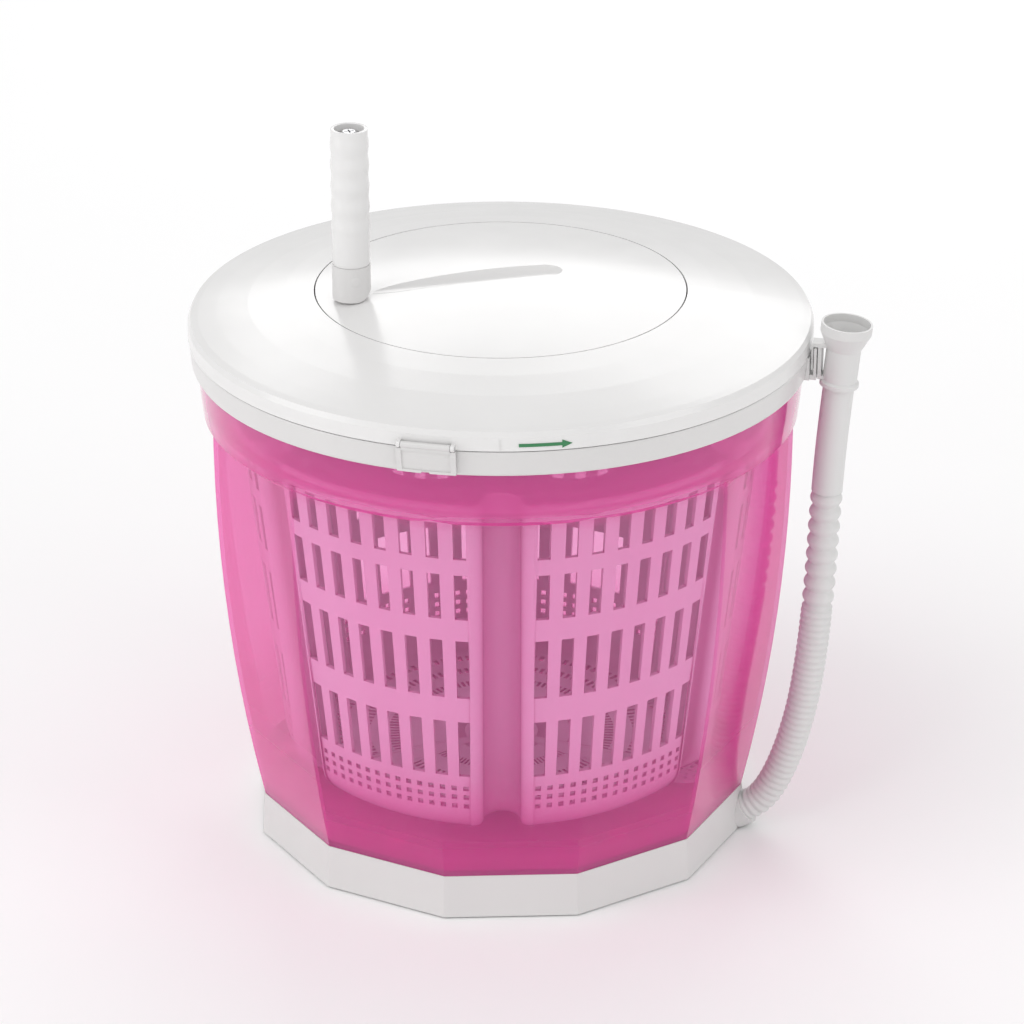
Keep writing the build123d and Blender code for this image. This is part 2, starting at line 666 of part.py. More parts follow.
def make_hand_grip():
    """Sleeve with five finger swells that spins on the handle's core."""
    swells = 5
    per_swell = 4
    height = HANDLE_TOP_Z - GRIP_LOW_Z
    outside = []
    for i in range(swells * per_swell + 1):
        part = i / (swells * per_swell)
        radius = HANDLE_R - 0.35 + 0.55 * math.sin(2 * math.pi * swells * part - math.pi / 2)
        outside.append((radius, GRIP_LOW_Z + height * part))
    wave = Spline(*[(r, 0, z) for r, z in outside])
    top = outside[-1]
    low = outside[0]
    bore = Polyline((top[0], 0, top[1]), (8.4, 0, HANDLE_TOP_Z), (8.4, 0, 431.6),
                    (CORE_R + RUNNING, 0, 431.6), (CORE_R + RUNNING, 0, GRIP_LOW_Z), (low[0], 0, low[1]))
    grip = revolve(make_face([wave, bore]), Axis.Z)
    return turned(Pos(-HANDLE_OFFSET, 0, 0) * grip, CRANK_BEARING)


def make_grip_washer():
    washer = ring(7.9, 1.9, 431.9, 432.9, (-HANDLE_OFFSET, 0))
    return turned(washer, CRANK_BEARING)


def make_grip_screw():
    cross = Pos(0, 0, 435) * (Box(5.4, 1.0, 1.6) + Box(1.0, 5.4, 1.6))
    body = (disc(3.6, 432.9, 435.2) - cross) + disc(1.8, 413, 433)
    return turned(Pos(-HANDLE_OFFSET, 0, 0) * body, CRANK_BEARING)


# ---------------------------------------------------------------- basket drive
def make_glide_ring():
    return ring(111.5, 100.5, 314.5, 317.7)


def make_main_bush():
    sleeve = disc(8.0, 297, 308) + disc(11, 308, 309.4)
    return sleeve - disc(SHAFT_R + RUNNING, 290, 320)


def make_drive_shaft():
    shaft = disc(SHAFT_R, 247, 333)
    return chamfer(shaft.edges().sort_by(Axis.Z)[-1], 0.8)


def make_drive_plate():
    """Plate in the basket's mouth; its notches straddle the six flutes."""
    plate = disc(140, 252, 256) + disc(12, 250, 268)
    plate = plate + ring(134, 131, 256, 262)
    for k in range(FLUTES):
        bearing = FLUTE_BEARING + 60 * k
        place = at(137, bearing)
        reach = at(160, bearing)
        notch = disc(FLUTE_RADIUS + BASKET_WALL + 2.0, 240, 280, (place.X, place.Y))
        notch = notch + disc(FLUTE_RADIUS + BASKET_WALL + 6.0, 240, 280, (reach.X, reach.Y))
        window = at(78, bearing + 30)
        plate = plate - notch - disc(30, 240, 280, (window.X, window.Y))
        rib = Pos(70, 0, 258.5) * Box(118, 3, 5)
        plate = plate + turned(rib, bearing)
    return plate - disc(SHAFT_R, 240, 300)


def make_drive_nut():
    nut = extrude(Pos(0, 0, 246) * RegularPolygon(9, 6), 4)
    return nut - disc(SHAFT_R, 240, 252)


# ---------------------------------------------------------------- basket
def basket_radius(z):
    share = (z - BASKET_FLOOR_Z) / (BASKET_TOP_Z - BASKET_FLOOR_Z)
    return BASKET_R_LOW + (BASKET_R_TOP - BASKET_R_LOW) * share


def basket_body(inset, top):
    """Round tapered body with a rounded lower corner, inset by a wall thickness."""
    low = BASKET_FLOOR_Z + inset
    corner = BASKET_CORNER - inset
    bend_z = low + corner
    bend_r = basket_radius(bend_z) - inset
    centre_r = bend_r - corner
    top_r = basket_radius(top) - inset
    diagonal = corner * math.sqrt(0.5)
    outline = make_face([
        Line((0, 0, low), (centre_r, 0, low)),
        ThreePointArc((centre_r, 0, low), (centre_r + diagonal, 0, bend_z - diagonal),
                      (bend_r, 0, bend_z)),
        Line((bend_r, 0, bend_z), (top_r, 0, top)),
        Line((top_r, 0, top), (0, 0, top)),
        Line((0, 0, top), (0, 0, low))])
    return revolve(outline, Axis.Z)


def flute(extra):
    """Upright groove that follows the basket's taper, drawn towards +X."""
    taper = math.degrees(math.atan2(BASKET_R_TOP - BASKET_R_LOW, BASKET_TOP_Z - BASKET_FLOOR_Z))
    radius = FLUTE_RADIUS + extra
    profile = Circle(radius) + Pos(30, 0) * Rectangle(60, 2 * radius)
    column = extrude(profile, 320)
    foot_r = basket_radius(0) - FLUTE_DEPTH + FLUTE_RADIUS
    return Pos(foot_r, 0, 0) * Rot(0, taper, 0) * Pos(0, 0, -20) * column


def make_basket():
    outside = basket_body(0, BASKET_TOP_Z)
    inside = basket_body(BASKET_WALL, BASKET_TOP_Z)
    for k in range(FLUTES):
        bearing = FLUTE_BEARING + 60 * k
        outside = outside - turned(flute(0), bearing)
        inside = inside - turned(flute(BASKET_WALL), bearing)
    basket = outside - inside
    lip = revolved([(BASKET_R_TOP - 1.0, BASKET_TOP_Z - 4), (BASKET_R_TOP + 3.4, BASKET_TOP_Z - 4),
                    (BASKET_R_TOP + 3.4, BASKET_TOP_Z), (BASKET_R_TOP - 1.0, BASKET_TOP_Z)])
    for k in range(FLUTES):
        lip = lip - turned(flute(-1.0), FLUTE_BEARING + 60 * k)
    basket = basket + lip + disc(16, BASKET_FLOOR_Z - 2, 66)
    cutters = []
    for k in range(FLUTES):
        for column in range(SLOT_COLUMNS):
            bearing = FLUTE_BEARING + 30 + 60 * k + (column - (SLOT_COLUMNS - 1) / 2) * SLOT_STEP
            for low, top in SLOT_ROWS:
                slot = Pos(135, 0, (low + top) / 2) * Box(60, SLOT_WIDTH, top - low)
                cutters.append(turned(slot, bearing))
    basket = basket - cutters
    for count, radius in ((6, 32), (12, 56), (18, 82)):
        holes = []
        for k in range(count):
            place = at(radius, 360 * k / count)
            holes.append(disc(3, 40, 50, (place.X, place.Y)))
        basket = basket - holes
    return basket - disc(9.0, 40, 61)


def make_pivot_bush():
    return ring(9.0, PIVOT_R + RUNNING, 42, 61)


def make_thrust_washer():
    return ring(13, PIVOT_R + 0.3, 40, 41.6)


PARTS = {
    "outer_tub": make_outer_tub,
    "base_ring": make_base_ring,
    "base_flange": make_base_flange,
    "base_ribs": make_base_ribs,
    "base_centre": make_base_centre,
    "base_bosses": make_base_bosses,
    "rubber_feet": make_rubber_feet,
    "base_screws": make_base_screws,
    "rim_band": make_rim_band,
    "pivot_pin": make_pivot_pin,
    "thrust_washer": make_thrust_washer,
    "drain_elbow": make_drain_elbow,
    "drain_gasket": make_drain_gasket,
    "drain_strainer": make_drain_strainer,
    "hose_collar": make_hose_collar,
    "drain_hose": make_drain_hose,
    "hose_cap": make_hose_cap,
    "hose_bracket": make_hose_bracket,
    "lid_shell": make_lid_shell,
    "lid_seal": make_lid_seal,
    "latch_pins": make_latch_pins,
    "latch_front": lambda: make_latch(LATCH_BEARINGS["front"]),
    "latch_back": lambda: make_latch(LATCH_BEARINGS["back"]),
    "direction_arrow": make_direction_arrow,
    "gear_case": make_gear_case,
    "gear_case_screws": make_gear_case_screws,
    "glide_ring": make_glide_ring,
    "main_bush": make_main_bush,
    "planet_axles": make_planet_axles,
    "planet_retainers": make_planet_retainers,
    "planet_gear_1": lambda: make_planet_gear(0),
    "planet_gear_2": lambda: make_planet_gear(1),
    "planet_gear_3": lambda: make_planet_gear(2),
    "sun_gear": make_sun_gear,
    "drive_shaft": make_drive_shaft,
    "drive_plate": make_drive_plate,
    "drive_nut": make_drive_nut,
    "ring_gear": make_ring_gear,
    "ring_gear_screws": make_ring_gear_screws,
    "crank_disc": make_crank_disc,
    "crank_hub": make_crank_hub,
    "crank_lug": make_crank_lug,
    "hub_bush": make_hub_bush,
    "handle_pin": make_handle_pin,
    "handle_post": make_handle_post,
    "hand_grip": make_hand_grip,
    "grip_washer": make_grip_washer,
    "grip_screw": make_grip_screw,
    "basket": make_basket,
    "pivot_bush": make_pivot_bush,
}

os.makedirs("parts", exist_ok=True)
for node, make in PARTS.items():
    export_step(make(), f"parts/{node}.step")
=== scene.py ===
import bpy
import bmesh
import json
import math
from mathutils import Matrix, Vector


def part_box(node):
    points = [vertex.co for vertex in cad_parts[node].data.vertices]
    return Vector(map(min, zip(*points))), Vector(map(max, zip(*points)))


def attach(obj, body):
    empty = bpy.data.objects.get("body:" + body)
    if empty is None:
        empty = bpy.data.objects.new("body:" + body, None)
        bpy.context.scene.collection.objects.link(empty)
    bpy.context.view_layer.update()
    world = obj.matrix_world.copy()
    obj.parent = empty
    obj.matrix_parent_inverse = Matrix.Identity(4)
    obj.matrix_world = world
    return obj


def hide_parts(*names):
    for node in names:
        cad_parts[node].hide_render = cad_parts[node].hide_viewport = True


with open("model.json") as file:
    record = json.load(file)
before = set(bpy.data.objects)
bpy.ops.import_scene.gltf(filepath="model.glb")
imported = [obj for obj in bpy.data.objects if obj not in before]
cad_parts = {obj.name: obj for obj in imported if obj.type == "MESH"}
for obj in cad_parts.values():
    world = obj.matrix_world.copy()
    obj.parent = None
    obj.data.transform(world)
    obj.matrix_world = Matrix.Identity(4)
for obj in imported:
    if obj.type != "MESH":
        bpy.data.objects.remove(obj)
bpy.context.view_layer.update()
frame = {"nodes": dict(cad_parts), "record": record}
scene = bpy.context.scene

# Angles called "bearing" are counted from the front (-Y) towards +X; lengths are metres.
SHARP_ANGLE = math.radians(35)
HOSE_BEARING = 75.0
HOSE_DIAMETER = 0.0186
# In the vertical plane of the hose: distance from the axis, sideways offset, height.
HOSE_ROUTE = (
    (0.1506, 0.0, 0.0130),
    (0.1564, 0.0, 0.0167),
    (0.1612, 0.0003, 0.0222),
    (0.1656, 0.0005, 0.0296),
    (0.1707, 0.0007, 0.0412),
    (0.1764, 0.0008, 0.0588),
    (0.1826, 0.0007, 0.0856),
    (0.1870, 0.0003, 0.1214),
    (0.1901, -0.0002, 0.1653),
    (0.1917, -0.0004, 0.2110),
    (0.1939, 0.0, 0.2570),
    (0.1970, 0.0, 0.2905),
)


def bearing_vector(bearing):
    a = math.radians(bearing)
    return Vector((math.sin(a), -math.cos(a), 0.0))


def at(radius, bearing, z=0.0):
    return bearing_vector(bearing) * radius + Vector((0.0, 0.0, z))


# ---------------------------------------------------------------- camera
CAMERA_PLACE = Vector((-0.0804, -2.1318, 1.1688))
CAMERA_TARGET = Vector((0.006425, -0.000242, 0.1909))
camera_data = bpy.data.cameras.new("camera")
camera_data.lens = 140.2
camera_data.sensor_width = 36.0
camera_data.clip_end = 20.0
camera = bpy.data.objects.new("camera", camera_data)
camera.location = CAMERA_PLACE
camera.rotation_mode = "QUATERNION"
camera.rotation_quaternion = (CAMERA_TARGET - CAMERA_PLACE).to_track_quat("-Z", "Y")
scene.collection.objects.link(camera)
scene.camera = camera


# ---------------------------------------------------------------- mesh helpers
LINE_STEPS = 24


def add_object(name, mesh, smooth=True):
    for polygon in mesh.polygons:
        polygon.use_smooth = smooth
    obj = bpy.data.objects.new(name, mesh)
    scene.collection.objects.link(obj)
    return obj


def line_points(points):
    """Points along the smooth line that a NURBS spline makes of the route."""
    curve = bpy.data.curves.new("hose_line", "CURVE")
    curve.dimensions = "3D"
    curve.resolution_u = LINE_STEPS
    spline = curve.splines.new("NURBS")
    spline.points.add(len(points) - 1)
    for target, point in zip(spline.points, points):
        target.co = (point.x, point.y, point.z, 1.0)
    spline.order_u = 3
    spline.use_endpoint_u = True
    holder = bpy.data.objects.new("hose_line", curve)
    scene.collection.objects.link(holder)
    evaluated = holder.evaluated_get(bpy.context.evaluated_depsgraph_get())
    mesh = bpy.data.meshes.new_from_object(evaluated)
    found = [vertex.co.copy() for vertex in mesh.vertices]
    bpy.data.objects.remove(holder)
    bpy.data.meshes.remove(mesh)
    return found


# ---------------------------------------------------------------- drain hose
HOSE_STEP = 0.0004
HOSE_SIDES = 40
FINE_TOP_Z = 0.150
COARSE_TOP_Z = 0.224
FINE_PITCH = 0.0042
COARSE_PITCH = 0.0090
FINE_DEPTH = 0.0011
COARSE_DEPTH = 0.0020
RIB_FULLNESS = 0.6
SLEEVE_INSET = 0.0003


def rib_radius(s, z):
    """Outer radius of the hose: fine ribs low down, coarse ones above, then a plain sleeve."""
    crest = HOSE_DIAMETER / 2
    if z > COARSE_TOP_Z:
        return crest - SLEEVE_INSET
    pitch, depth = ((FINE_PITCH, FINE_DEPTH) if z < FINE_TOP_Z
                    else (COARSE_PITCH, COARSE_DEPTH))
    wave = 0.5 + 0.5 * math.cos(2 * math.pi * s / pitch)
    return crest - depth * (1.0 - wave ** RIB_FULLNESS)


def build_hose(path):
    side = bearing_vector(HOSE_BEARING + 90)
    lengths = [0.0]
    for before, after in zip(path, path[1:]):
        lengths.append(lengths[-1] + (after - before).length)
    count = int(lengths[-1] / HOSE_STEP)
    vertices, faces = [], []
    segment = 0
    for i in range(count + 1):
        s = lengths[-1] * i / count
        while segment < len(path) - 2 and lengths[segment + 1] < s:
            segment += 1
        share = (s - lengths[segment]) / (lengths[segment + 1] - lengths[segment])
        centre = path[segment].lerp(path[segment + 1], min(1.0, share))
        forward = (path[min(segment + 2, len(path) - 1)] - path[max(segment - 1, 0)]).normalized()
        across = forward.cross(side).normalized()
        width = across.cross(forward).normalized()
        radius = rib_radius(s, centre.z)
        for k in range(HOSE_SIDES):
            turn = 2 * math.pi * k / HOSE_SIDES
            vertices.append(centre + (across * math.cos(turn) + width * math.sin(turn)) * radius)
    for i in range(count):
        for k in range(HOSE_SIDES):
            a, b = i * HOSE_SIDES + k, i * HOSE_SIDES + (k + 1) % HOSE_SIDES
            faces.append((a, b, b + HOSE_SIDES, a + HOSE_SIDES))
    faces.append(tuple(range(HOSE_SIDES)))
    faces.append(tuple(count * HOSE_SIDES + k for k in range(HOSE_SIDES)))
    mesh = bpy.data.meshes.new("ribbed_hose")
    mesh.from_pydata(vertices, [], faces)
    work = bmesh.new()
    work.from_mesh(mesh)
    bmesh.ops.recalc_face_normals(work, faces=work.faces)
    work.to_mesh(mesh)
    work.free()
    return add_object("ribbed_hose", mesh)


route = [bearing_vector(HOSE_BEARING) * r + bearing_vector(HOSE_BEARING + 90) * s
         + Vector((0.0, 0.0, z)) for r, s, z in HOSE_ROUTE]
hose_path = line_points(route)
hose = build_hose(hose_path)
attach(hose, "tub")
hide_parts("drain_hose")


# ---------------------------------------------------------------- basket
BASKET_LOW_R, BASKET_LOW_Z = 0.1279, 0.0440
BASKET_TOP_R, BASKET_TOP_Z = 0.1532, 0.2680
BASKET_WALL = 0.0022
BASKET_CORNER, CORNER_STEPS = 0.018, 6
LIP_REACH, LIP_HEIGHT, LIP_STEP = 0.0030, 0.0040, 0.0002
FLUTES, FLUTE_BEARING = 6, -2.0
FLUTE_R = 0.0105
SHOULDER_R = 0.0075
ARC_STEPS = 8
SLOT_HALF, HOLE_HALF = 0.0037, 0.0016
SLOT_COLUMNS, SLOT_STEP = 8, 6.0
SLOT_ROWS = ((0.085, 0.122), (0.138, 0.176), (0.190, 0.219), (0.229, 0.252))
HOLE_ROWS = ((0.0630, 0.0662), (0.0690, 0.0722), (0.0750, 0.0782))
HUB_OUTER, HUB_INNER, HUB_LOW, HUB_TOP = 0.016, 0.009, 0.042, 0.066
FLOOR_SHARES = (0.93, 0.87, 0.78, 0.72, 0.62, 0.56, 0.44, 0.38, 0.26, 0.20, 0.117)


def basket_radius(z):
    share = (z - BASKET_LOW_Z) / (BASKET_TOP_Z - BASKET_LOW_Z)
    return BASKET_LOW_R + (BASKET_TOP_R - BASKET_LOW_R) * share


def basket_columns():
    """Upright lines round the basket: (bearing, offset across, depth, kind of strip after it)."""
    columns = []
    lobe = 360.0 / FLUTES
    for k in range(FLUTES):
        middle = FLUTE_BEARING + lobe * k
        for i in range(-2 * ARC_STEPS, 2 * ARC_STEPS + 1):
            part = math.radians(90.0 * abs(i) / ARC_STEPS)
            if abs(i) <= ARC_STEPS:
                across, depth = FLUTE_R * math.sin(part), SHOULDER_R + FLUTE_R * math.cos(part)
            else:
                depth = SHOULDER_R * (1.0 - math.sin(part - math.pi / 2))
                across = FLUTE_R + SHOULDER_R * (1.0 - math.cos(part - math.pi / 2))
            columns.append((middle, math.copysign(across, i), depth, "plain"))
        for column in range(SLOT_COLUMNS):
            place = middle + lobe / 2 + (column - (SLOT_COLUMNS - 1) / 2) * SLOT_STEP
            columns.append((place, -SLOT_HALF, 0.0, "slot"))
            columns.append((place, -HOLE_HALF, 0.0, "both"))
            columns.append((place, HOLE_HALF, 0.0, "slot"))
            columns.append((place, SLOT_HALF, 0.0, "plain"))
            if column < SLOT_COLUMNS - 1:
                columns.append((place + SLOT_STEP / 2, -HOLE_HALF, 0.0, "hole"))
                columns.append((place + SLOT_STEP / 2, HOLE_HALF, 0.0, "plain"))
    return columns


def basket_rows():
    """Rings from the floor to the lip: (height, inset, share of full radius, kind of band after)."""
    rows = []
    for i, share in enumerate(reversed(FLOOR_SHARES)):
        rows.append((BASKET_LOW_Z, BASKET_CORNER, share, "hole" if i % 2 == 1 else "plain"))
    for i in range(CORNER_STEPS + 1):
        turn = math.radians(90.0 / CORNER_STEPS * i)
        rows.append((BASKET_LOW_Z + BASKET_CORNER * (1.0 - math.cos(turn)),
                     BASKET_CORNER * (1.0 - math.sin(turn)), 1.0, "plain"))
    for kind, bands in (("hole", HOLE_ROWS), ("slot", SLOT_ROWS)):
        for low, top in bands:
            rows.extend(((low, 0.0, 1.0, kind), (top, 0.0, 1.0, "plain")))
    lip = BASKET_TOP_Z - LIP_HEIGHT
    rows.extend(((lip, 0.0, 1.0, "plain"), (lip + LIP_STEP, -LIP_REACH, 1.0, "plain"),
                 (BASKET_TOP_Z - BASKET_WALL, -LIP_REACH, 1.0, "plain")))
    return rows


def lathe(work, outline, sides=48, centre=Vector((0.0, 0.0, 0.0))):
    """Adds a closed ring with the given (radius, height) outline."""
    rings = [[work.verts.new(centre + at(r, 360.0 * k / sides, z)) for r, z in outline]
             for k in range(sides)]
    for k in range(sides):
        here, there = rings[k], rings[(k + 1) % sides]
        for i in range(len(outline)):
            j = (i + 1) % len(outline)
            work.faces.new((here[i], there[i], there[j], here[j]))


def build_basket():
    columns, rows = basket_columns(), basket_rows()
    work = bmesh.new()
    grid = []
    for z, inset, share, _ in rows:
        radius = basket_radius(max(z, BASKET_LOW_Z)) - inset
        line = []
        for bearing, across, depth, _ in columns:
            point = bearing_vector(bearing) * (radius - depth) + bearing_vector(bearing + 90) * across
            line.append(work.verts.new(point * share + Vector((0.0, 0.0, z))))
        grid.append(line)
    for i in range(len(rows) - 1):
        for k in range(len(columns)):
            band, strip = rows[i][3], columns[k][3]
            if band != "plain" and strip in (band, "both"):
                continue
            nxt = (k + 1) % len(columns)
            work.faces.new((grid[i][k], grid[i][nxt], grid[i + 1][nxt], grid[i + 1][k]))
    mesh = bpy.data.meshes.new("spin_basket")
    work.to_mesh(mesh)
    work.free()
    shell = add_object("spin_basket", mesh)
    wall = shell.modifiers.new("wall", "SOLIDIFY")
    wall.thickness, wall.offset = BASKET_WALL, -1.0
    evaluated = shell.evaluated_get(bpy.context.evaluated_depsgraph_get())
    solid = bpy.data.meshes.new_from_object(evaluated)
    shell.modifiers.clear()
    work = bmesh.new()
    work.from_mesh(solid)
    lathe(work, ((HUB_INNER, HUB_LOW), (HUB_OUTER, HUB_LOW), (HUB_OUTER, HUB_TOP),
                 (HUB_INNER, HUB_TOP)))
    bmesh.ops.recalc_face_normals(work, faces=work.faces)
    work.to_mesh(solid)
    work.free()
    solid.set_sharp_from_angle(angle=SHARP_ANGLE)
    shell.data = solid
    return shell


basket = build_basket()
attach(basket, "basket")
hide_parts("basket")


# ---------------------------------------------------------------- hand grip, pin caps, tick
CRANK_BEARING = 103.0
HANDLE_OFFSET, HANDLE_PIVOT_Z, HANDLE_R = 0.0876, 0.3486, 0.0110
GRIP_SEAM = 0.00028
GRIP_LOW_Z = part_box("hand_grip")[0][2] - GRIP_SEAM
GRIP_TOP_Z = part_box("hand_grip")[1][2]
GRIP_PLAIN_TOP_Z = 0.3760
GRIP_SWELLS, SWELL = 5, 0.00028
GRIP_BORE_R, GRIP_WELL_R, GRIP_WELL_Z = 0.00605, 0.0084, 0.4316
EDGE_ROUND, BORE_CHAMFER = 0.0009, 0.0003
GRIP_STEPS, GRIP_SIDES = 60, 64
PIN_CAP_R, PIN_CAP_PROUD, PIN_CAP_SIDES = 0.0030, 0.00015, 32
# Rings of a pin cap from its edge inwards: share of its radius, share of its height.
PIN_CAP_RINGS = ((1.0, 0.0), (0.85, 1.0), (0.40, 1.2))
TICK_BEARING, TICK_LOW_Z, TICK_TOP_Z, TICK_HALF_ANGLE = -2.3, 0.3094, 0.3156, 0.16
TICK_SUNK, TICK_PROUD = -0.0003, 0.00012
LID_R, SIDE_LOW_Z, SIDE_TOP_Z, SIDE_LEAN = 0.1800, 0.3089, 0.3166, 0.0003
handle_centre = bearing_vector(CRANK_BEARING) * -HANDLE_OFFSET


def solid_piece(name, fill):
    """A new object from mesh work that fill does."""
    work = bmesh.new()
    fill(work)
    bmesh.ops.recalc_face_normals(work, faces=work.faces)
    mesh = bpy.data.meshes.new(name)
    work.to_mesh(mesh)
    work.free()
    obj = add_object(name, mesh)
    mesh.set_sharp_from_angle(angle=SHARP_ANGLE)
    return obj


def fill_grip(work):
    """Sleeve with shallow finger swells, softened edges and a bore with a wider well on top."""
    side = []
    for i in range(GRIP_STEPS + 1):
        z = GRIP_LOW_Z + (GRIP_TOP_Z - GRIP_LOW_Z) * i / GRIP_STEPS
        part = max(0.0, (z - GRIP_PLAIN_TOP_Z) / (GRIP_TOP_Z - GRIP_PLAIN_TOP_Z))
        wave = math.sin(2 * math.pi * GRIP_SWELLS * part) if part > 0.0 else 0.0
        side.append((HANDLE_R - SWELL + SWELL * wave, z))
    low_r, top_r = side[0][0], side[-1][0]
    side[0] = (low_r - EDGE_ROUND / 3, GRIP_LOW_Z)
    side[-1] = (top_r - EDGE_ROUND, GRIP_TOP_Z)
    side.insert(-1, (top_r - EDGE_ROUND * 0.3, GRIP_TOP_Z - EDGE_ROUND * 0.3))
    inner = [(GRIP_WELL_R + BORE_CHAMFER, GRIP_TOP_Z), (GRIP_WELL_R, GRIP_TOP_Z - BORE_CHAMFER),
             (GRIP_WELL_R, GRIP_WELL_Z), (GRIP_BORE_R, GRIP_WELL_Z), (GRIP_BORE_R, GRIP_LOW_Z)]
    lathe(work, side + inner, GRIP_SIDES, handle_centre)


def fill_pin_caps(work):
    """Low round caps over both ends of the handle's pin."""
    across = bearing_vector(CRANK_BEARING + 90)
    along = bearing_vector(CRANK_BEARING)
    for side in (-1, 1):
        rings = []
        for radius_share, height_share in PIN_CAP_RINGS:
            radius, proud = PIN_CAP_R * radius_share, PIN_CAP_PROUD * height_share
            ring = []
            for k in range(PIN_CAP_SIDES):
                turn = 2 * math.pi * k / PIN_CAP_SIDES
                shift, rise = radius * math.cos(turn), radius * math.sin(turn)
                wall = math.sqrt(HANDLE_R ** 2 - shift ** 2)
                ring.append(work.verts.new(handle_centre + along * shift
                                           + across * side * (wall + proud)
                                           + Vector((0.0, 0.0, HANDLE_PIVOT_Z + rise))))
            rings.append(ring)
        for outer, inner in zip(rings, rings[1:]):
            for k in range(PIN_CAP_SIDES):
                j = (k + 1) % PIN_CAP_SIDES
                work.faces.new((outer[k], outer[j], inner[j], inner[k]))
        work.faces.new(rings[-1])


def fill_tick(work):
    """Small raised bar on the lid's side that marks where the arrow starts."""
    corners = []
    for proud in (TICK_SUNK, TICK_PROUD):
        for turn, z in ((-1, TICK_LOW_Z), (1, TICK_LOW_Z), (1, TICK_TOP_Z), (-1, TICK_TOP_Z)):
            lean = SIDE_LEAN * (z - SIDE_LOW_Z) / (SIDE_TOP_Z - SIDE_LOW_Z)
            corners.append(work.verts.new(at(LID_R - lean + proud,
                                             TICK_BEARING + turn * TICK_HALF_ANGLE, z)))
    work.faces.new(corners[:4])
    work.faces.new(corners[4:])
    for k in range(4):
        j = (k + 1) % 4
        work.faces.new((corners[k], corners[j], corners[4 + j], corners[4 + k]))


grip = solid_piece("grip_sleeve", fill_grip)
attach(grip, "grip")
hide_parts("hand_grip")
pin_caps = solid_piece("handle_pin_caps", fill_pin_caps)
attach(pin_caps, "handle")
tick = solid_piece("start_tick", fill_tick)
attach(tick, "lid")


# ---------------------------------------------------------------- materials
PLASTIC_IOR = 1.49
GRAIN_SCALE, GRAIN_DEPTH = 1400.0, 0.000008
FLOW_SCALE, FLOW_STRETCH, FLOW_DEPTH = 22.0, (1.0, 1.0, 0.35), 0.0002
SCUFF_SCALE, SCUFF_STRETCH = 45.0, (1.0, 1.0, 3.0)
COAT_ROUGHNESS = 0.12

# Painted shade in the basket's hollows: the ambient occlusion reach and the darker pink that
# closed-in places are painted with, standing in for shade and pink bounce light.
HOLLOW_SHADE_REACH = 0.030
HOLLOW_SHADE_PINK = (0.68, 0.29, 0.49, 1.0)
BASKET_WHITES = ((0.94, 0.93, 0.94, 1.0), (0.97, 0.96, 0.97, 1.0))
BASKET_GLOW_SHARE = 0.18

TINT_FACING, TINT_EDGE_ON = (1.0, 0.86, 0.955, 1.0), (0.94, 0.30, 0.66, 1.0)
TUB_PINK, TUB_GLOW, TUB_GLOW_SHARE = (0.94, 0.10, 0.49, 1.0), (1.0, 0.18, 0.62, 1.0), 0.45
MILKY_FACING, MILKY_EDGE_ON = 0.11, 0.50
MILKY_RIM, RIM_FROM_Z, RIM_FULL_Z = 0.38, 0.255, 0.270
MILKY_FLOOR, FLOOR_FULL_Z, FLOOR_END_Z = 0.32, 0.040, 0.095


class Nodes:
    """Short way to build a material's node tree."""

    def __init__(self, name):
        self.material = bpy.data.materials.new(name)
        self.material.use_nodes = True
        self.tree = self.material.node_tree
        self.tree.nodes.clear()
        self.output = self.tree.nodes.new("ShaderNodeOutputMaterial")
        self.place = self.tree.nodes.new("ShaderNodeTexCoord").outputs["Object"]

    def add(self, kind, inputs=None, **settings):
        node = self.tree.nodes.new(kind)
        for key, value in settings.items():
            setattr(node, key, value)
        for key, value in (inputs or {}).items():
            socket = node.inputs[key]
            if isinstance(value, bpy.types.NodeSocket):
                self.tree.links.new(value, socket)
            else:
                socket.default_value = value
        return node

    def noise(self, scale, detail=3.0, stretch=None):
        vector = self.place
        if stretch:
            vector = self.add("ShaderNodeMapping", {"Vector": vector, "Scale": stretch}).outputs[0]
        return self.add("ShaderNodeTexNoise", {"Vector": vector, "Scale": scale,
                                               "Detail": detail}).outputs["Fac"]

    def spread(self, value, low, high, start=0.3, end=0.7):
        return self.add("ShaderNodeMapRange", {"Value": value, "From Min": start, "From Max": end,
                                               "To Min": low, "To Max": high}).outputs["Result"]

    def blend(self, factor, first, second):
        node = self.add("ShaderNodeMix", {"Factor": factor}, data_type="RGBA")
        for socket, value in ((node.inputs[6], first), (node.inputs[7], second)):
            if isinstance(value, bpy.types.NodeSocket):
                self.tree.links.new(value, socket)
            else:
                socket.default_value = value
        return node.outputs[2]

    def math(self, operation, first, second=0.0):
        node = self.add("ShaderNodeMath", operation=operation)
        for socket, value in zip(node.inputs, (first, second)):
            if isinstance(value, bpy.types.NodeSocket):
                self.tree.links.new(value, socket)
            else:
                socket.default_value = value
        return node.outputs[0]

    def bump(self, height, distance, strength=1.0, normal=None):
        inputs = {"Height": height, "Distance": distance, "Strength": strength}
        if normal is not None:
            inputs["Normal"] = normal
        return self.add("ShaderNodeBump", inputs).outputs[0]

    def finish(self, shader):
        self.tree.links.new(shader, self.output.inputs["Surface"])
        return self.material


def shade(colour, factor):
    return tuple(min(1.0, c * factor) for c in colour[:3]) + (1.0,)


